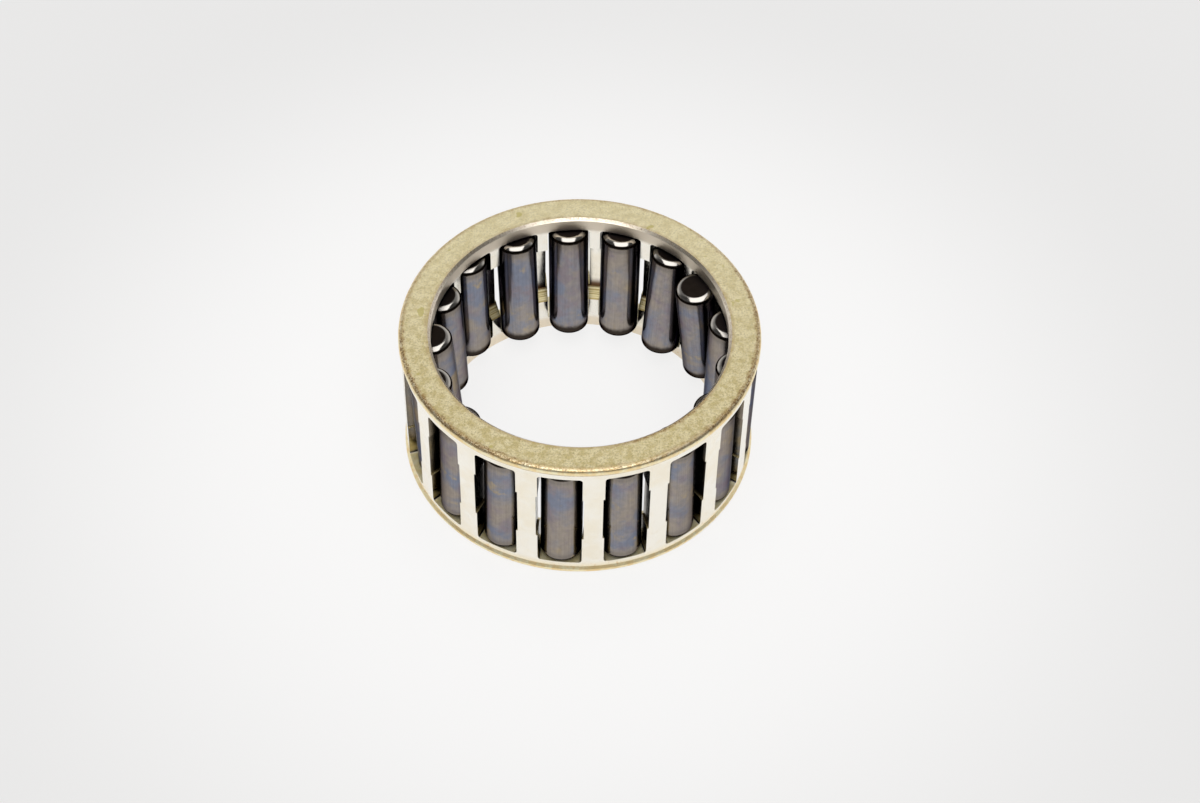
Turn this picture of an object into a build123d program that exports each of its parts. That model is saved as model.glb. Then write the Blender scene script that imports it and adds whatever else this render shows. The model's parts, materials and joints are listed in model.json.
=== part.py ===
from build123d import *

import math
import os

# Needle roller and cage assembly, 35 mm shaft raceway, 45 mm housing raceway, 20 mm wide.
# Frame: origin at the centre of the lower end face, +Z along the bearing axis, millimetres.
# Angles are counted anticlockwise from +X, as seen from above.

# Cage
CAGE_OUTER_RADIUS = 21.7
CAGE_BORE_RADIUS = 17.85
CAGE_WIDTH = 20.0
OUTER_EDGE_FILLET = 0.64
BORE_EDGE_CHAMFER = 0.33

# Between two low lips, one at each end, the outside of the cage is turned down a little.
LIP_WIDTH = 0.8
LIP_SLOPE_WIDTH = 0.35
RECESSED_RADIUS = 21.47

# Pockets
ROLLER_COUNT = 17
FIRST_POCKET_ANGLE = -95.57
RIM_WIDTH = 1.92
POCKET_WIDTH = 5.3
POCKET_CORNER_FILLET = 0.45

# Relief that widens the middle of each pocket, so that the walls guide a roller near its ends
RELIEF_WIDTH = 5.68
RELIEF_LENGTH = 7.5
RELIEF_CENTRE_HEIGHT = 10.4
RELIEF_CORNER_FILLET = 0.1

# How far a cutting shape reaches past the wall that it cuts
CUTTER_MARGIN = 1.0

# Groove turned round the inside of the webs, with 45 degree shoulders
GROOVE_MOUTH = 9.6
GROOVE_DEPTH = 1.3

# Rollers
ROLLER_RADIUS = 2.5
ROLLER_LENGTH = 15.8
ROLLER_END_FILLET = 0.75
ROLLER_FOOT_GAP = 0.03

# The loose rollers stand on the lower rim, each where it has come to rest. First the place of the
# head, then that of the foot: how far out from the bearing axis, and how far to the side.
# The rollers at the back have let their feet slide into the bore. The head of roller 7 has tipped
# into the bore.
ROLLER_RESTS = {
    1: ((18.67, 0.0), (19.23, 0.0)),
    2: ((18.71, 0.0), (19.27, 0.0)),
    3: ((18.72, 0.0), (19.27, 0.0)),
    4: ((18.81, 0.0), (19.01, 0.0)),
    5: ((19.07, -0.04), (18.99, 0.0)),
    6: ((18.39, -0.12), (18.40, 0.0)),
    7: ((16.58, 0.17), (18.35, -0.13)),
    8: ((18.47, -0.11), (16.83, -0.18)),
    9: ((18.41, 0.10), (16.88, -0.23)),
    10: ((18.39, 0.0), (16.52, 0.0)),
    11: ((18.58, -0.05), (17.01, 0.19)),
    12: ((19.27, -0.05), (18.77, 0.12)),
    13: ((18.31, -0.13), (17.67, 0.13)),
    14: ((17.87, -0.13), (16.75, 0.06)),
    15: ((18.75, 0.0), (18.36, 0.0)),
    16: ((18.65, 0.0), (19.04, 0.0)),
    17: ((18.74, 0.0), (19.23, 0.0)),
}


def pocket_angle(number):
    return FIRST_POCKET_ANGLE + (number - 1) * 360.0 / ROLLER_COUNT


def pocket_directions(number):
    """The outward and the sideways direction of a pocket, as unit vectors."""
    angle = math.radians(pocket_angle(number))
    outward = Vector(math.cos(angle), math.sin(angle), 0)
    sideways = Vector(-math.sin(angle), math.cos(angle), 0)
    return outward, sideways


def place_in_pocket(number, radial, tangential):
    outward, sideways = pocket_directions(number)
    return outward * radial + sideways * tangential


def roller_ends(number):
    """Centres of a roller's lower and upper end faces."""
    head_place, foot_place = ROLLER_RESTS[number]
    head = place_in_pocket(number, *head_place)
    foot = place_in_pocket(number, *foot_place)
    run = (head - foot).length
    lean = math.asin(run / ROLLER_LENGTH)
    rounded_part = ROLLER_END_FILLET * (1 - math.cos(lean))
    foot_rise = (ROLLER_RADIUS - ROLLER_END_FILLET) * math.sin(lean) - rounded_part
    foot_height = RIM_WIDTH + ROLLER_FOOT_GAP + foot_rise
    head_height = foot_height + ROLLER_LENGTH * math.cos(lean)
    return foot + Vector(0, 0, foot_height), head + Vector(0, 0, head_height)


def roller_axis(number):
    """A point half way along a roller's axis, and the axis's direction, head upwards."""
    foot, head = roller_ends(number)
    return (foot + head) * 0.5, (head - foot).normalized()


def make_ring():
    """The cage before its pockets and its groove are cut."""
    slope_end = LIP_WIDTH + LIP_SLOPE_WIDTH
    outline = [
        (CAGE_BORE_RADIUS, 0),
        (CAGE_OUTER_RADIUS, 0),
        (CAGE_OUTER_RADIUS, LIP_WIDTH),
        (RECESSED_RADIUS, slope_end),
        (RECESSED_RADIUS, CAGE_WIDTH - slope_end),
        (CAGE_OUTER_RADIUS, CAGE_WIDTH - LIP_WIDTH),
        (CAGE_OUTER_RADIUS, CAGE_WIDTH),
        (CAGE_BORE_RADIUS, CAGE_WIDTH),
    ]
    ring = revolve(make_face(Plane.XZ * Polyline(*outline, close=True)), Axis.Z, 360)
    middle_radius = (CAGE_BORE_RADIUS + CAGE_OUTER_RADIUS) / 2
    levels = ring.edges().filter_by(GeomType.CIRCLE).group_by(Axis.Z)
    end_edges = levels[0] + levels[-1]
    outer_edges = end_edges.filter_by(lambda edge: edge.radius > middle_radius)
    ring = fillet(outer_edges, OUTER_EDGE_FILLET)
    rim_edges = ring.edges().filter_by(GeomType.CIRCLE)
    bore_edges = rim_edges.filter_by(lambda edge: edge.radius < middle_radius)
    return chamfer(bore_edges, BORE_EDGE_CHAMFER)


def make_groove():
    """The ring-shaped space of the inner groove, from just inside the bore wall outwards."""
    inside = CAGE_BORE_RADIUS - CUTTER_MARGIN
    bottom = CAGE_BORE_RADIUS + GROOVE_DEPTH
    half_mouth = GROOVE_MOUTH / 2
    half_floor = half_mouth - GROOVE_DEPTH
    middle = CAGE_WIDTH / 2
    outline = [
        (inside, middle - half_mouth),
        (CAGE_BORE_RADIUS, middle - half_mouth),
        (bottom, middle - half_floor),
        (bottom, middle + half_floor),
        (CAGE_BORE_RADIUS, middle + half_mouth),
        (inside, middle + half_mouth),
    ]
    section = make_face(Plane.XZ * Polyline(*outline, close=True))
    return revolve(section, Axis.Z, 360)


def pocket_block(width, height, centre_height, corner_fillet):
    """A block lying along +X through the cage's wall, its four long edges rounded, that cuts one window."""
    depth = CAGE_OUTER_RADIUS - CAGE_BORE_RADIUS + 2 * CUTTER_MARGIN
    block = Box(depth, width, height)
    block = fillet(block.edges().filter_by(Axis.X), corner_fillet)
    middle_radius = (CAGE_BORE_RADIUS + CAGE_OUTER_RADIUS) / 2
    return Pos(middle_radius, 0, centre_height) * block


def make_cage():
    cage = make_ring() - make_groove()
    window_height = CAGE_WIDTH - 2 * RIM_WIDTH
    window = pocket_block(POCKET_WIDTH, window_height, CAGE_WIDTH / 2, POCKET_CORNER_FILLET)
    relief = pocket_block(RELIEF_WIDTH, RELIEF_LENGTH, RELIEF_CENTRE_HEIGHT, RELIEF_CORNER_FILLET)
    cutter = window + relief
    cutters = [Rot(0, 0, pocket_angle(number)) * cutter for number in range(1, ROLLER_COUNT + 1)]
    return cage - cutters


def make_roller(number):
    middle, direction = roller_axis(number)
    roller = Cylinder(ROLLER_RADIUS, ROLLER_LENGTH)
    roller = fillet(roller.edges().filter_by(GeomType.CIRCLE), ROLLER_END_FILLET)
    across = Vector(1, 0, 0).cross(direction).cross(direction)
    return Plane(origin=middle, x_dir=across, z_dir=direction) * roller


def roller_name(number):
    return f"roller_{number:02d}"


def main():
    os.makedirs("parts", exist_ok=True)
    export_step(make_cage(), "parts/cage.step")
    for number in range(1, ROLLER_COUNT + 1):
        export_step(make_roller(number), f"parts/{roller_name(number)}.step")


if __name__ == "__main__":
    main()
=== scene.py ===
import json
import math
from collections import namedtuple
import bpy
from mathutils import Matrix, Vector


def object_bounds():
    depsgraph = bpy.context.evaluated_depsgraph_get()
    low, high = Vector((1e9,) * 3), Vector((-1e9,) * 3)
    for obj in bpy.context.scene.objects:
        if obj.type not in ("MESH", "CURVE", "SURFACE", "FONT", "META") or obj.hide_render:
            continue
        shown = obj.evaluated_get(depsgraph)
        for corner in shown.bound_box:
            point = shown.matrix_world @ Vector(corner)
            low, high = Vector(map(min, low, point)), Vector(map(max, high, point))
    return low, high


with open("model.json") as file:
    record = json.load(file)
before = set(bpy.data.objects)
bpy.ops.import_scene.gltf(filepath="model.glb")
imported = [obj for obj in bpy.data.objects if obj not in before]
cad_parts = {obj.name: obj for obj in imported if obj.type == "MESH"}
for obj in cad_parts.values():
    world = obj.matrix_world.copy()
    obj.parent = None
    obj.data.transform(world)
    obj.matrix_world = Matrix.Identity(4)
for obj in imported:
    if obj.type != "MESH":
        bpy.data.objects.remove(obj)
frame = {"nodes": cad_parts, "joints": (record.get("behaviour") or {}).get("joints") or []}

from types import SimpleNamespace

import bpy
from mathutils import Matrix, Vector

cad_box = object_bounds()

MM = 0.001

# Camera: a 71 mm lens that looks down at the bearing from the front. It is set back from the origin
# along its elevation, and the small yaw, pitch and roll turn it away from the origin.
LENS_MM = 70.91
SENSOR_WIDTH_MM = 36.0
NEAREST_SEEN = 0.01
CAMERA_DISTANCE = 0.2976
CAMERA_ELEVATION = math.radians(51.446)
CAMERA_YAW = -0.0089
CAMERA_PITCH = 0.0131
CAMERA_ROLL = 0.0132

# Floor: pale paper with a painted fall-off of light, a little darker away from the bearing. The glow
# is the share of the paper's own brightness in what the camera, or a mirror, sees of it. The rest is
# its lit and shadowed surface.
FLOOR_REACH = 6.0
PAPER_NEAR = (0.965, 0.96, 0.955)
PAPER_FAR = (0.83, 0.825, 0.82)
PAPER_LIGHT_FALLOFF = (0.03, 0.09)
PAPER_ROUGHNESS = 0.9
PAPER_SPECULAR = 0.2
PAPER_GLOW = 0.85
PAPER_GLOW_IN_MIRRORS = 0.7

# Soft box: a long rectangle that faces the bearing from this elevation at the front. Its edges, and
# how far each is blurred, are tangents of the angle from the direction that it faces from.
SOFT_BOX_ELEVATION = math.radians(48)
SOFT_BOX_HALF_WIDTH = 0.56
SOFT_BOX_FRONT = -0.24
SOFT_BOX_BACK = 3.2
SIDE_BLUR = 0.05
FRONT_BLUR = 0.04
BACK_BLUR = 0.6
SOFT_BOX_LEVEL = 2.1

# Room round the soft box. Its ramps are of the upward and the backward part of a direction.
DIM_ROOM = (0.06, 0.06, 0.06)
BACK_ROOM = (0.22, 0.22, 0.22)
PALE_WALL = (0.85, 0.85, 0.85)
FRONT_WALL = (0.10, 0.10, 0.10)
WALL_FADE = (0.85, 0.35)
BEHIND = (0.05, 0.5)

# A layer of colour: nothing where a measure is at the ramp's first value, and full at its second. The
# measure is a noise pattern, a place in millimetres or, for painted shade, how open the place is.
Layer = namedtuple("Layer", "ramp colour strength", defaults=(1.0,))

# Each pair below is a ramp: where a mask begins to rise, and where it is full. First places on the
# cage, in millimetres up or down from its middle height
HALF_WIDTH = (cad_box[1][2] - cad_box[0][2]) / 2 / MM
END_ZONE = (HALF_WIDTH - 1.2, HALF_WIDTH - 0.4)
RIM_ZONE = (HALF_WIDTH - 2.4, HALF_WIDTH - 1.6)
LIP_ZONE = (8.75, 8.9)
SHOULDER_ZONE = (5.2, 4.9)

# Places on the cage, in millimetres from its axis
LIP_RADIUS = (20.9, 21.0)
DENTED_RADIUS = (20.8, 21.3)
OUTER_EDGE = (20.85, 21.2)
INNER_EDGE = (18.65, 18.3)
GROOVE_BOTTOM = (18.9, 19.1)

# Places on the cage, in millimetres above its lower end
TOP_HEIGHT = (19.6, 19.85)
DENTED_HEIGHT = (19.0, 19.5)
TOP_LINE_START = (18.75, 18.85)
TOP_LINE_END = (19.2, 19.1)
GROOVE_CORNER_HEIGHT = (8.2, 6.8)
ABOVE_SILL = (1.95, 2.6)
PATCH_HEIGHT = (2.1, 1.2)
BOTTOM_LINE_HEIGHT = (0.45, 0.2)

# Which way a surface of the cage faces, as ramps of parts of its normal
LEVEL = (0.75, 0.95)
FACES_OUT = (0.5, 0.8)
FACES_IN = (-0.5, -0.8)
FACES_SIDEWAYS = (0.35, 0.7)
EDGE_SLOPE = (0.12, 0.3)
SHOULDER_SLOPE = (0.4, 0.6)

# Noise patterns of the plating: scale per millimetre, detail, roughness and distortion
BLOTCH = (0.22, 3.0, 0.6)
MOTTLE = (0.9, 6.0, 0.7)
GRAIN = (4.6, 5.0, 0.72, 0.6)
FINE_GRAIN = (16.0, 2.0, 0.6)
SPOT_PATTERN = (0.55, 2.0, 0.5)
SPOT_PATTERN_SHIFT = (31, 17, 5)
PATCH_PATTERN = (0.8, 5.0, 0.75)
DENT_PATTERN = (1.6, 3.0, 0.6)
TURNING_RINGS_SCALE = 6.0

# Plating of the cage's sides, and what lies over it
SIDE_SILVER = (0.975, 0.94, 0.85)
SIDE_CREAM = Layer((0.4, 0.68), (0.95, 0.885, 0.74))
SIDE_STRAW = Layer((0.60, 0.75), (0.91, 0.84, 0.68))
SIDE_LOW_GOLD = Layer((2.3, 1.0), (0.94, 0.85, 0.64))

# End faces. They are paler towards the back, along +Y, as painted light.
FACE_OLIVE = (0.70, 0.595, 0.305)
FACE_GOLD = Layer((0.38, 0.60), (0.88, 0.79, 0.52))
FACE_BROWN_GRAIN = Layer((0.54, 0.38), (0.44, 0.35, 0.16), 0.65)
FACE_BRIGHT_GRAIN = Layer((0.60, 0.75), (0.97, 0.93, 0.76))
FACE_PAINTED_LIGHT_BACK = Layer((-14.0, 20.0), (0.98, 0.91, 0.66), 0.35)
FACE_GREEN_SPOTS = Layer((0.68, 0.73), (0.60, 0.52, 0.16), 0.6)

# Pockets, groove and rims
SILL_GOLD = (0.86, 0.74, 0.40)
SILL_PALE = Layer((0.35, 0.65), (0.96, 0.90, 0.68))
WALL_SILVER = (0.80, 0.77, 0.64)
# Painted shade: a darker olive low on the pocket walls
WALL_LOW_PAINTED_SHADE = Layer((8.0, 3.5), (0.66, 0.57, 0.34))
SHOULDER_BROWN = (0.50, 0.38, 0.15)
SHOULDER_GOLD_RINGS = Layer((0.42, 0.58), (0.86, 0.76, 0.46))
# Painted shade in the groove's corner
GROOVE_CORNER_PAINTED_SHADE = (0.13, 0.07, 0.035)
LIP_COPPER = (0.94, 0.73, 0.38)
LIP_GOLD = Layer((0.40, 0.62), (1.0, 0.91, 0.62))
RIM_WALL_CREAM = (0.99, 0.88, 0.72)
RIM_WALL_CREAM_STRENGTH = 0.8

# Wear and dirt of the cage, and its painted shade under the top edge, round the bottom edge and near
# the rollers
# Painted shade: a dark line just under the top edge, on the outside
TOP_PAINTED_SHADE_LINE = Layer((0.35, 0.6), (0.34, 0.20, 0.09), 0.8)
STAINS = Layer((0.40, 0.58), (0.40, 0.21, 0.06), 0.9)
SPECKS = Layer((0.67, 0.74), (0.16, 0.11, 0.06), 0.7)
SPECKS_IN_STAINS = 0.16
ORANGE_PATCHES = Layer((0.56, 0.68), (0.80, 0.52, 0.20), 0.7)
# Painted shade: a brown line round the bottom edge
BOTTOM_PAINTED_SHADE_LINE = Layer((0.30, 0.55), (0.62, 0.45, 0.18), 0.8)
# Painted shade where other surfaces come near
CAGE_CREVICE_SHADE = Layer((0.75, 0.30), (0.06, 0.04, 0.025), 0.85)
CAGE_SHADE_REACH = 1.2 * MM
STAIN_RAGGEDNESS = 1.6

# Where the edges are worn most: middle and half width in degrees, and the fade beside it. Elsewhere
# the outer and the inner edge have the lesser wear.
WORN_FRONT_LEFT = (218, 42, 20)
WORN_RIGHT = (350, 40, 20)
WORN_FRONT_RIGHT = (305, 22, 12)
OUTER_EDGE_WEAR = 0.6
INNER_EDGE_WEAR = 0.45

# Roughness of the cage: one number, or the ramp of a pattern and the roughness at its two ends. The
# ramp of its edges is of the height.
SIDE_ROUGHNESS = (0.3, 0.7, 0.12, 0.20)
SHOULDER_ROUGHNESS = 0.45
SILL_ROUGHNESS = 0.6
RIM_WALL_ROUGHNESS = 0.5
EDGE_ROUGHNESS = (8.0, 12.0, 0.45, 0.28)
FACE_ROUGHNESS = (0.3, 0.7, 0.50, 0.66)
STAIN_ROUGHNESS = 0.6

# Relief of the cage
GRAIN_RELIEF = 0.7
FINE_GRAIN_RELIEF = 0.3
SIDE_RELIEF = 0.04
RELIEF_BUMP = (0.35, 0.03 * MM)
DENT_BUMP = (0.35, 0.2 * MM)

# Rollers. Number 1 is at the front, and the numbers go anticlockwise seen from above. The rollers at
# the back have painted shade on their feet, and only those round the back have a painted lit copy of
# their heads' rounded edges; the others have painted shade there.
JOINTS = {joint["name"]: joint for joint in frame["joints"]}
ROLLER_COUNT = len(JOINTS)
SHADED_FEET = range(5, 14)
BRIGHT_HEADS = range(5, 16)

# Places on a roller, in millimetres from its axis, along it from its middle, or either way from there
FOOT_END = (-6.0, -7.0)
ROUNDED_EDGE = (7.2, 7.35)
BELOW_ROUNDED_EDGE = (7.35, 7.2)
END_FACE_RADIUS = (1.85, 1.70)

# Noise patterns of a roller's steel, and the shift that makes each roller's own
TINT_PATTERN = (0.18, 4.0, 0.55, 0.4)
SECOND_TINT_PATTERN = (0.30, 4.0, 0.6)
SECOND_TINT_SHIFT = (50, 0, 0)
CLOUD_PATTERN = (1.4, 4.0, 0.65)
STREAK_PATTERN = (1.0, 3.0, 0.7)
STREAK_STRETCH = (7.0, 7.0, 0.10)
SCRATCH_PATTERN = (9.0, 2.0)
SHIFT_PER_NUMBER = (7.3, 3.1, 11.7)

# Heat tints, grain and dark ends of a roller, and its painted light and shade
STEEL_TAN = (0.385, 0.335, 0.285)
STEEL_BLUE = Layer((0.38, 0.62), (0.245, 0.27, 0.345))
STEEL_PLUM = Layer((0.48, 0.70), (0.30, 0.255, 0.28))
STEEL_STRAW = Layer((0.43, 0.33), (0.44, 0.365, 0.26))
PALE_ENDS = Layer((6.8, 8.6), (0.35, 0.31, 0.27))
PALE_ENDS_RAGGEDNESS = 3.0
DARK_STREAKS = Layer((0.62, 0.38), (0.13, 0.11, 0.10), 0.16)
DARK_CLOUDS = Layer((0.7, 0.3), (0.1, 0.1, 0.12), 0.2)
END_BAND = Layer((6.2, 6.9), (0.045, 0.035, 0.03), 0.2)
# Painted shade: black on the rounded edges and the feet
PAINTED_SHADE_BLACK = (0.025, 0.018, 0.013)
# Rounded edge of the heads: a painted lit copy round the back, and painted shade elsewhere
LIT_ROUNDING = Layer((7.58, 7.66), (0.50, 0.47, 0.43))
SHADED_ROUNDING = Layer((7.58, 7.66), (0.09, 0.08, 0.07))
FOOT_PAINTED_SHADE = Layer((-5.8, -6.6), PAINTED_SHADE_BLACK, 0.93)
FOOT_SHADE_RAGGEDNESS = 0.6
# Painted shade: nearly black end faces
END_FACE_PAINTED_SHADE = ((0.016, 0.012, 0.009), (0.040, 0.030, 0.024))
# Painted shade where other surfaces come near
WIDE_CREVICE_SHADE = Layer((0.85, 0.50), (0.015, 0.013, 0.016), 0.93)
NARROW_CREVICE_SHADE = Layer((0.65, 0.30), (0.015, 0.013, 0.016), 0.93)
ROLLER_SHADE_REACH = 2.5 * MM

# Sheen of a roller. The tint dims what it mirrors at a grazing angle.
STEEL_GRAZING_TINT = (0.25, 0.25, 0.27, 1.0)
STEEL_ROUGHNESS = (0.3, 0.7, 0.22, 0.13)
ROUNDING_ROUGHNESS = 0.12
END_FACE_ROUGHNESS = 0.28
SCRATCH_RELIEF = 0.3
STEEL_BUMP = (0.12, 0.01 * MM)

# How many rays look for near surfaces at each point
CREVICE_SAMPLES = 8


class Nodes:
    """A short way to write a shader's node tree."""

    def __init__(self, tree):
        self.tree = tree

    def add(self, kind, **settings):
        node = self.tree.nodes.new(kind)
        for key, value in settings.items():
            setattr(node, key, value)
        return node

    def put(self, value, socket):
        if isinstance(value, bpy.types.NodeSocket):
            self.tree.links.new(value, socket)
        else:
            socket.default_value = value

    def math(self, operation, a, b=0.0):
        node = self.add("ShaderNodeMath", operation=operation)
        self.put(a, node.inputs[0])
        self.put(b, node.inputs[1])
        return node.outputs[0]

    def product(self, first, *others):
        for other in others:
            first = self.math("MULTIPLY", first, other)
        return first

    def highest(self, first, *others):
        for other in others:
            first = self.math("MAXIMUM", first, other)
        return first

    def total(self, a, b):
        return self.math("ADD", a, b)

    def all_but(self, mask):
        return self.math("SUBTRACT", 1.0, mask)

    def vector(self, operation, a, b=(0, 0, 0)):
        node = self.add("ShaderNodeVectorMath", operation=operation)
        self.put(a, node.inputs[0])
        self.put(b, node.inputs[1])
        return node.outputs["Value" if operation in ("LENGTH", "DOT_PRODUCT") else "Vector"]

    def part(self, vector, direction):
        """How far a vector goes in a direction."""
        return self.vector("DOT_PRODUCT", vector, direction)

    def noise(self, where, scale, detail=2.0, roughness=0.5, distortion=0.0):
        node = self.add("ShaderNodeTexNoise")
        self.put(where, node.inputs["Vector"])
        self.put(scale, node.inputs["Scale"])
        self.put(detail, node.inputs["Detail"])
        self.put(roughness, node.inputs["Roughness"])
        self.put(distortion, node.inputs["Distortion"])
        return node.outputs["Fac"]

    def step(self, value, low, high, to_low=0.0, to_high=1.0):
        """A smooth rise from to_low at low to to_high at high."""
        node = self.add("ShaderNodeMapRange", interpolation_type="SMOOTHSTEP")
        for number, socket in zip((value, low, high, to_low, to_high), node.inputs):
            self.put(number, socket)
        return node.outputs[0]

    def mix(self, amount, a, b):
        """The colour a where the amount is zero, and b where it is one."""
        node = self.add("ShaderNodeMix", data_type="RGBA")
        self.put(amount, node.inputs[0])
        for value, socket in ((a, node.inputs[6]), (b, node.inputs[7])):
            if isinstance(value, tuple):
                value = (*value, 1.0)
            self.put(value, socket)
        return node.outputs[2]

    def blend(self, amount, a, b):
        """The number a where the amount is zero, and b where it is one."""
        node = self.add("ShaderNodeMix", data_type="FLOAT")
        self.put(amount, node.inputs[0])
        self.put(a, node.inputs[2])
        self.put(b, node.inputs[3])
        return node.outputs[0]

    def layer(self, colour, measure, layer, within=1.0):
        """A layer over a colour, where the measure is in the layer's ramp, and only within a mask."""
        amount = self.product(self.step(measure, *layer.ramp), within, layer.strength)
        return self.mix(amount, colour, layer.colour)

    def openness(self, distance):
        """One in the open, and less the more other surfaces there are within the distance."""
        node = self.add("ShaderNodeAmbientOcclusion", samples=CREVICE_SAMPLES)
        self.put(distance, node.inputs["Distance"])
        return node.outputs["AO"]

    def bump(self, height, strength, distance, normal=None):
        node = self.add("ShaderNodeBump")
        self.put(strength, node.inputs["Strength"])
        self.put(distance, node.inputs["Distance"])
        self.put(height, node.inputs["Height"])
        if normal is not None:
            self.put(normal, node.inputs["Normal"])
        return node.outputs[0]


def new_material(name):
    material = bpy.data.materials.new(name)
    material.use_nodes = True
    shader = material.node_tree.nodes["Principled BSDF"]
    return material, shader, Nodes(material.node_tree)


def add_camera():
    data = bpy.data.cameras.new("camera")
    data.lens = LENS_MM
    data.sensor_width = SENSOR_WIDTH_MM
    data.clip_start = NEAREST_SEEN
    camera = bpy.data.objects.new("camera", data)
    bpy.context.scene.collection.objects.link(camera)
    aim = Matrix.Rotation(math.pi / 2 - CAMERA_ELEVATION, 3, "X")
    trim = (
        Matrix.Rotation(CAMERA_YAW, 3, "Y")
        @ Matrix.Rotation(CAMERA_PITCH, 3, "X")
        @ Matrix.Rotation(CAMERA_ROLL, 3, "Z")
    )
    back = Vector((0, -math.cos(CAMERA_ELEVATION), math.sin(CAMERA_ELEVATION)))
    camera.matrix_world = Matrix.Translation(back * CAMERA_DISTANCE) @ (aim @ trim).to_4x4()
    bpy.context.scene.camera = camera


def add_floor():
    mesh = bpy.data.meshes.new("floor")
    corners = [
        (-FLOOR_REACH, -FLOOR_REACH, 0),
        (FLOOR_REACH, -FLOOR_REACH, 0),
        (FLOOR_REACH, FLOOR_REACH, 0),
        (-FLOOR_REACH, FLOOR_REACH, 0),
    ]
    mesh.from_pydata(corners, [], [(0, 1, 2, 3)])
    floor = bpy.data.objects.new("floor", mesh)
    bpy.context.scene.collection.objects.link(floor)

    material, shader, nodes = new_material("floor_paper")
    # Painted light: the paper's colour darkens away from the bearing.
    distance = nodes.vector("LENGTH", nodes.add("ShaderNodeTexCoord").outputs["Object"])
    colour = nodes.mix(nodes.step(distance, *PAPER_LIGHT_FALLOFF), PAPER_NEAR, PAPER_FAR)
    nodes.put(colour, shader.inputs["Base Color"])
    shader.inputs["Roughness"].default_value = PAPER_ROUGHNESS
    shader.inputs["Specular IOR Level"].default_value = PAPER_SPECULAR
    glow = nodes.add("ShaderNodeEmission")
    nodes.put(colour, glow.inputs["Color"])
    path = nodes.add("ShaderNodeLightPath")
    seen = nodes.highest(path.outputs["Is Camera Ray"], path.outputs["Is Transmission Ray"])
    seen = nodes.product(seen, PAPER_GLOW)
    mirrored = nodes.product(path.outputs["Is Glossy Ray"], PAPER_GLOW_IN_MIRRORS)
    surface = nodes.add("ShaderNodeMixShader")
    nodes.put(nodes.highest(seen, mirrored), surface.inputs[0])
    nodes.put(shader.outputs[0], surface.inputs[1])
    nodes.put(glow.outputs[0], surface.inputs[2])
    nodes.put(surface.outputs[0], material.node_tree.nodes["Material Output"].inputs["Surface"])
    mesh.materials.append(material)


def add_studio():
    """A dim room with a pale wall behind and one long soft box over the bearing, from the front."""
    world = bpy.data.worlds.new("studio")
    bpy.context.scene.world = world
    world.use_nodes = True
    nodes = Nodes(world.node_tree)
    towards = nodes.vector("NORMALIZE", nodes.add("ShaderNodeTexCoord").outputs["Generated"])

    up, out = math.sin(SOFT_BOX_ELEVATION), math.cos(SOFT_BOX_ELEVATION)
    facing = nodes.part(towards, (0, -out, up))
    across = nodes.math("ABSOLUTE", nodes.math("DIVIDE", nodes.part(towards, (1, 0, 0)), facing))
    along = nodes.math("DIVIDE", nodes.part(towards, (0, up, out)), facing)
    box = nodes.product(
        nodes.step(across, SOFT_BOX_HALF_WIDTH + SIDE_BLUR, SOFT_BOX_HALF_WIDTH - SIDE_BLUR),
        nodes.step(along, SOFT_BOX_FRONT - FRONT_BLUR, SOFT_BOX_FRONT + FRONT_BLUR),
        nodes.step(along, SOFT_BOX_BACK + BACK_BLUR, SOFT_BOX_BACK - BACK_BLUR),
        nodes.math("GREATER_THAN", facing, 0.0),
    )

    low = nodes.step(nodes.part(towards, (0, 0, 1)), *WALL_FADE)
    behind = nodes.step(nodes.part(towards, (0, 1, 0)), *BEHIND)
    wall = nodes.mix(behind, FRONT_WALL, PALE_WALL)
    room = nodes.mix(low, nodes.mix(behind, DIM_ROOM, BACK_ROOM), wall)
    lit = nodes.mix(box, room, (SOFT_BOX_LEVEL,) * 3)
    nodes.put(lit, world.node_tree.nodes["Background"].inputs["Color"])


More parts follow.
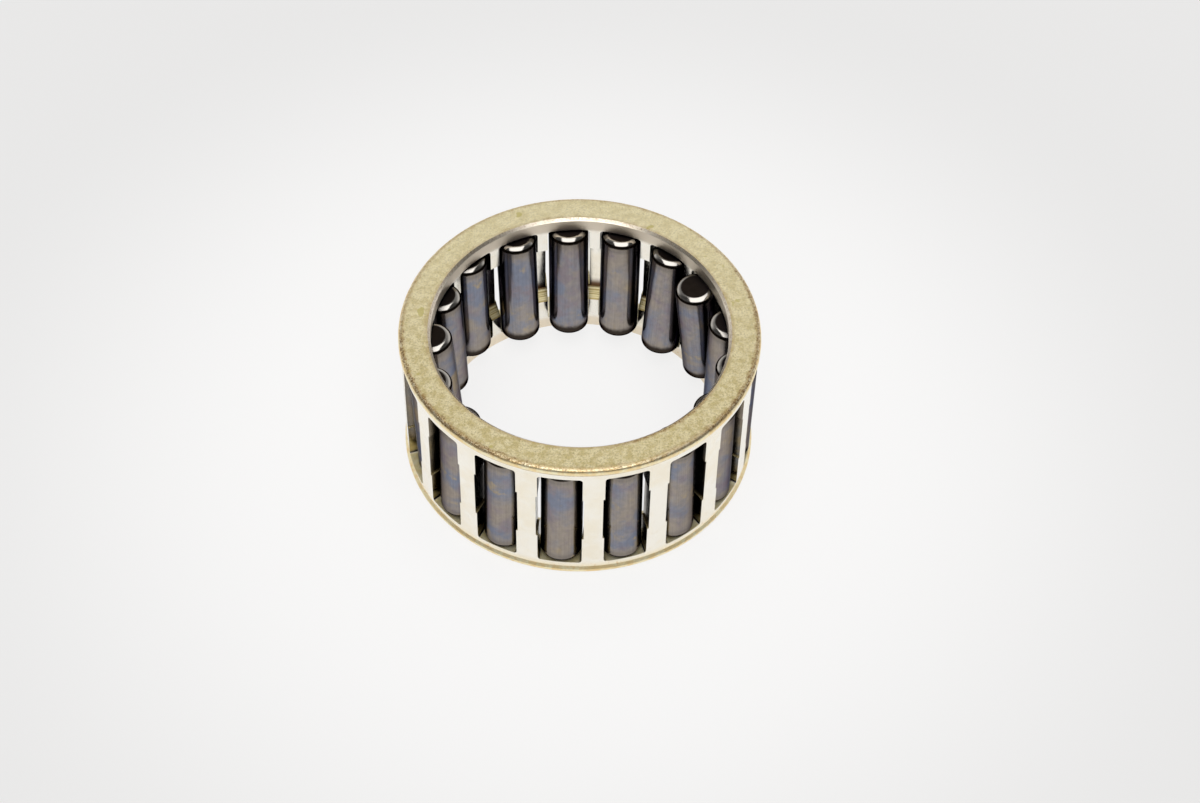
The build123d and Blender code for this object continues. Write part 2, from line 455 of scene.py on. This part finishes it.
def cage_places(nodes):
    """Where a point of the cage is, in millimetres, and masks for its kinds of surface."""
    texture = nodes.add("ShaderNodeTexCoord")
    where = nodes.vector("SCALE", texture.outputs["Object"])
    where.node.inputs["Scale"].default_value = 1 / MM
    flat = nodes.vector("MULTIPLY", where, (1, 1, 0))
    radius = nodes.vector("LENGTH", flat)
    outward = nodes.vector("NORMALIZE", flat)
    height = nodes.part(where, (0, 0, 1))
    from_middle = nodes.math("ABSOLUTE", nodes.math("SUBTRACT", height, HALF_WIDTH))

    normal = texture.outputs["Normal"]
    upright = nodes.math("ABSOLUTE", nodes.part(normal, (0, 0, 1)))
    facing_out = nodes.part(normal, outward)
    sideways = nodes.all_but(nodes.math("ABSOLUTE", facing_out))
    sideways = nodes.math("SUBTRACT", sideways, upright)

    level = nodes.step(upright, *LEVEL)
    near_end = nodes.step(from_middle, *END_ZONE)
    inward = nodes.step(facing_out, *FACES_IN)
    on_lip = nodes.product(nodes.step(from_middle, *LIP_ZONE), nodes.step(radius, *LIP_RADIUS))
    in_groove = nodes.product(inward, nodes.step(radius, *GROOVE_BOTTOM))
    edge_zone = nodes.math("SUBTRACT", near_end, level)
    shoulder_zone = nodes.step(from_middle, *SHOULDER_ZONE)
    return SimpleNamespace(
        where=where,
        radius=radius,
        outward=outward,
        height=height,
        end_face=nodes.product(level, near_end),
        sill=nodes.product(level, nodes.all_but(near_end)),
        outside=nodes.step(facing_out, *FACES_OUT),
        pocket_wall=nodes.step(sideways, *FACES_SIDEWAYS),
        rim_wall=nodes.product(inward, nodes.step(from_middle, *RIM_ZONE)),
        lip=nodes.product(on_lip, nodes.all_but(level)),
        edge=nodes.product(nodes.step(upright, *EDGE_SLOPE), edge_zone),
        shoulder=nodes.product(nodes.step(upright, *SHOULDER_SLOPE), shoulder_zone),
        groove_corner_shade=nodes.product(in_groove, nodes.step(height, *GROOVE_CORNER_HEIGHT)),
    )


def sector(nodes, outward, degrees, half_width, fade):
    """A mask round a direction, in degrees anticlockwise from +X, that falls to zero beside it."""
    angle = math.radians(degrees)
    along = nodes.part(outward, (math.cos(angle), math.sin(angle), 0))
    inner = math.cos(math.radians(half_width - fade))
    outer = math.cos(math.radians(half_width + fade))
    return nodes.step(along, outer, inner)


def plating_colour(nodes, place, blotch, mottle, grain, fine):
    """The plating of each kind of surface, without stains, with painted light towards the back of the end
    faces and painted shade low on the pocket walls, in the groove's corner and under the top edge.
    """
    side = nodes.layer(SIDE_SILVER, blotch, SIDE_CREAM)
    side = nodes.layer(side, mottle, SIDE_STRAW)
    side = nodes.layer(side, place.height, SIDE_LOW_GOLD)

    face = nodes.layer(FACE_OLIVE, mottle, FACE_GOLD)
    face = nodes.layer(face, grain, FACE_BROWN_GRAIN)
    face = nodes.layer(face, fine, FACE_BRIGHT_GRAIN)
    # Painted light: the end faces are paler towards the back.
    face = nodes.layer(face, nodes.part(place.where, (0, 1, 0)), FACE_PAINTED_LIGHT_BACK)

    rings = nodes.add("ShaderNodeTexNoise", noise_dimensions="1D")
    nodes.put(place.radius, rings.inputs["W"])
    nodes.put(TURNING_RINGS_SCALE, rings.inputs["Scale"])
    shoulder = nodes.layer(SHOULDER_BROWN, rings.outputs["Fac"], SHOULDER_GOLD_RINGS)

    colour = nodes.mix(place.end_face, side, face)
    colour = nodes.mix(place.sill, colour, nodes.layer(SILL_GOLD, mottle, SILL_PALE))
    # Painted shade: darker olive low on the pocket walls
    colour = nodes.mix(place.pocket_wall, colour, nodes.layer(WALL_SILVER, place.height, WALL_LOW_PAINTED_SHADE))
    colour = nodes.mix(place.shoulder, colour, shoulder)
    # Painted shade: dark brown in the groove's corner
    colour = nodes.mix(place.groove_corner_shade, colour, GROOVE_CORNER_PAINTED_SHADE)
    colour = nodes.mix(place.lip, colour, nodes.layer(LIP_COPPER, mottle, LIP_GOLD))
    # Painted shade: a dark brown line just under the top edge, on the outside.
    top_shade_line = nodes.product(
        nodes.step(place.height, *TOP_LINE_START),
        nodes.step(place.height, *TOP_LINE_END),
        place.outside,
    )
    colour = nodes.layer(colour, mottle, TOP_PAINTED_SHADE_LINE, within=top_shade_line)
    return nodes.mix(nodes.product(place.rim_wall, RIM_WALL_CREAM_STRENGTH), colour, RIM_WALL_CREAM)


def cage_material():
    material, shader, nodes = new_material("cage_plating")
    place = cage_places(nodes)
    blotch = nodes.noise(place.where, *BLOTCH)
    mottle = nodes.noise(place.where, *MOTTLE)
    grain = nodes.noise(place.where, *GRAIN)
    fine = nodes.noise(place.where, *FINE_GRAIN)
    colour = plating_colour(nodes, place, blotch, mottle, grain, fine)

    # Yellow-green spots on the end faces
    spots = nodes.noise(nodes.vector("ADD", place.where, SPOT_PATTERN_SHIFT), *SPOT_PATTERN)
    colour = nodes.layer(colour, spots, FACE_GREEN_SPOTS, within=place.end_face)

    # Copper-brown stains along the edges of the upper end face, and dark specks in them
    patches = nodes.noise(place.where, *PATCH_PATTERN)
    ragged = nodes.product(nodes.math("SUBTRACT", patches, 0.5), STAIN_RAGGEDNESS)
    outer_edge = nodes.step(nodes.total(place.radius, ragged), *OUTER_EDGE)
    inner_edge = nodes.step(nodes.math("SUBTRACT", place.radius, ragged), *INNER_EDGE)
    front_left = sector(nodes, place.outward, *WORN_FRONT_LEFT)
    right = sector(nodes, place.outward, *WORN_RIGHT)
    front_right = sector(nodes, place.outward, *WORN_FRONT_RIGHT)
    outer_wear = nodes.highest(front_left, right, OUTER_EDGE_WEAR)
    inner_wear = nodes.highest(front_right, INNER_EDGE_WEAR)
    worn = nodes.highest(nodes.product(outer_edge, outer_wear), nodes.product(inner_edge, inner_wear))
    worn = nodes.product(worn, nodes.step(place.height, *TOP_HEIGHT))
    stain = nodes.product(worn, nodes.step(grain, *STAINS.ramp))
    colour = nodes.mix(nodes.product(stain, STAINS.strength), colour, STAINS.colour)
    colour = nodes.layer(colour, nodes.total(nodes.product(worn, SPECKS_IN_STAINS), grain), SPECKS)

    # Orange patches low on the outside, and painted shade in a brown line round the bottom edge
    colour = nodes.layer(colour, patches, ORANGE_PATCHES, within=nodes.step(place.height, *PATCH_HEIGHT))
    colour = nodes.layer(colour, mottle, BOTTOM_PAINTED_SHADE_LINE, within=nodes.step(place.height, *BOTTOM_LINE_HEIGHT))

    # Painted shade, dark where the rollers and other surfaces come near
    shade_zone = nodes.product(nodes.all_but(place.end_face), nodes.step(place.height, *ABOVE_SILL))
    colour = nodes.layer(colour, nodes.openness(CAGE_SHADE_REACH), CAGE_CREVICE_SHADE, within=shade_zone)
    nodes.put(colour, shader.inputs["Base Color"])

    shader.inputs["Metallic"].default_value = 1.0
    rough = nodes.step(mottle, *SIDE_ROUGHNESS)
    rough = nodes.blend(place.shoulder, rough, SHOULDER_ROUGHNESS)
    rough = nodes.blend(place.sill, rough, SILL_ROUGHNESS)
    rough = nodes.blend(place.rim_wall, rough, RIM_WALL_ROUGHNESS)
    edges = nodes.highest(place.edge, place.lip)
    rough = nodes.blend(edges, rough, nodes.step(place.height, *EDGE_ROUGHNESS))
    rough = nodes.blend(place.end_face, rough, nodes.step(grain, *FACE_ROUGHNESS))
    rough = nodes.blend(stain, rough, STAIN_ROUGHNESS)
    nodes.put(rough, shader.inputs["Roughness"])

    relief = nodes.total(nodes.product(grain, GRAIN_RELIEF), nodes.product(fine, FINE_GRAIN_RELIEF))
    relief = nodes.product(relief, nodes.total(place.end_face, SIDE_RELIEF))
    dented = nodes.product(
        nodes.step(place.radius, *DENTED_RADIUS),
        nodes.step(place.height, *DENTED_HEIGHT),
        outer_wear,
    )
    dents = nodes.product(nodes.noise(place.where, *DENT_PATTERN), dented)
    normal = nodes.bump(relief, *RELIEF_BUMP)
    normal = nodes.bump(dents, *DENT_BUMP, normal)
    nodes.put(normal, shader.inputs["Normal"])
    return material


def roller_point(nodes, joint):
    """A point of a roller in millimetres from its middle, with its third part along the roller's axis."""
    local = nodes.add("ShaderNodeMapping", vector_type="TEXTURE")
    nodes.put(nodes.add("ShaderNodeTexCoord").outputs["Object"], local.inputs["Vector"])
    nodes.put(tuple(joint["pos_m"]), local.inputs["Location"])
    turn = Vector((0, 0, 1)).rotation_difference(Vector(joint["axis"])).to_euler()
    nodes.put(tuple(turn), local.inputs["Rotation"])
    nodes.put((MM, MM, MM), local.inputs["Scale"])
    return local.outputs["Vector"]


def roller_material(number):
    """Ground steel with heat tints, and painted light and shade on its ends and where surfaces come near.
    Each roller's own axis is its joint's, so its grain runs along it.
    """
    material, shader, nodes = new_material(f"roller_steel_{number:02d}")
    here = roller_point(nodes, JOINTS[f"roller_{number:02d}_spin"])
    radius = nodes.vector("LENGTH", nodes.vector("MULTIPLY", here, (1, 1, 0)))
    along = nodes.part(here, (0, 0, 1))
    from_middle = nodes.math("ABSOLUTE", along)
    foot = nodes.step(along, *FOOT_END)
    rounding = nodes.step(from_middle, *ROUNDED_EDGE)
    end_face = nodes.step(radius, *END_FACE_RADIUS)

    own = nodes.vector("ADD", here, tuple(shift * number for shift in SHIFT_PER_NUMBER))
    tint = nodes.noise(own, *TINT_PATTERN)
    second_tint = nodes.noise(nodes.vector("ADD", own, SECOND_TINT_SHIFT), *SECOND_TINT_PATTERN)
    cloud = nodes.noise(own, *CLOUD_PATTERN)
    streak = nodes.noise(nodes.vector("MULTIPLY", own, STREAK_STRETCH), *STREAK_PATTERN)

    colour = nodes.layer(STEEL_TAN, tint, STEEL_BLUE)
    colour = nodes.layer(colour, second_tint, STEEL_PLUM)
    colour = nodes.layer(colour, second_tint, STEEL_STRAW)
    ragged_end = nodes.total(from_middle, nodes.product(cloud, PALE_ENDS_RAGGEDNESS))
    colour = nodes.layer(colour, ragged_end, PALE_ENDS)
    colour = nodes.layer(colour, streak, DARK_STREAKS)
    colour = nodes.layer(colour, cloud, DARK_CLOUDS)
    on_barrel = nodes.step(from_middle, *BELOW_ROUNDED_EDGE)
    colour = nodes.layer(colour, from_middle, END_BAND, within=on_barrel)

    # Heads: the rollers round the back get a painted lit copy of the rounded edge, the others painted
    # shade.
    head_rounding = LIT_ROUNDING if number in BRIGHT_HEADS else SHADED_ROUNDING
    head = nodes.layer(PAINTED_SHADE_BLACK, from_middle, head_rounding)
    # Painted shade: black on the lower part of the heads' rounded edges and on the feet's rounded edges.
    colour = nodes.mix(rounding, colour, nodes.mix(foot, head, PAINTED_SHADE_BLACK))
    # Painted shade on the feet of the rollers at the back.
    if number in SHADED_FEET:
        ragged_foot = nodes.total(along, nodes.product(cloud, FOOT_SHADE_RAGGEDNESS))
        colour = nodes.layer(colour, ragged_foot, FOOT_PAINTED_SHADE)
    # Painted shade: the end faces are nearly black.
    colour = nodes.mix(end_face, colour, nodes.mix(cloud, *END_FACE_PAINTED_SHADE))
    # Painted shade where other surfaces come near, wider on the rollers at the back.
    crevice_shade = WIDE_CREVICE_SHADE if number in SHADED_FEET else NARROW_CREVICE_SHADE
    colour = nodes.layer(colour, nodes.openness(ROLLER_SHADE_REACH), crevice_shade)
    nodes.put(colour, shader.inputs["Base Color"])

    shader.inputs["Metallic"].default_value = 1.0
    shader.inputs["Specular Tint"].default_value = STEEL_GRAZING_TINT
    rough = nodes.step(streak, *STEEL_ROUGHNESS)
    rough = nodes.blend(rounding, rough, ROUNDING_ROUGHNESS)
    rough = nodes.blend(end_face, rough, END_FACE_ROUGHNESS)
    nodes.put(rough, shader.inputs["Roughness"])

    scratches = nodes.product(nodes.noise(own, *SCRATCH_PATTERN), SCRATCH_RELIEF)
    nodes.put(nodes.bump(nodes.total(streak, scratches), *STEEL_BUMP), shader.inputs["Normal"])
    return material


def dress(node, material):
    mesh = frame["nodes"][node].data
    mesh.materials.clear()
    mesh.materials.append(material)


add_camera()
add_floor()
add_studio()
dress("cage", cage_material())
for number in range(1, ROLLER_COUNT + 1):
    dress(f"roller_{number:02d}", roller_material(number))

view = bpy.context.scene.view_settings
view.view_transform = "Standard"
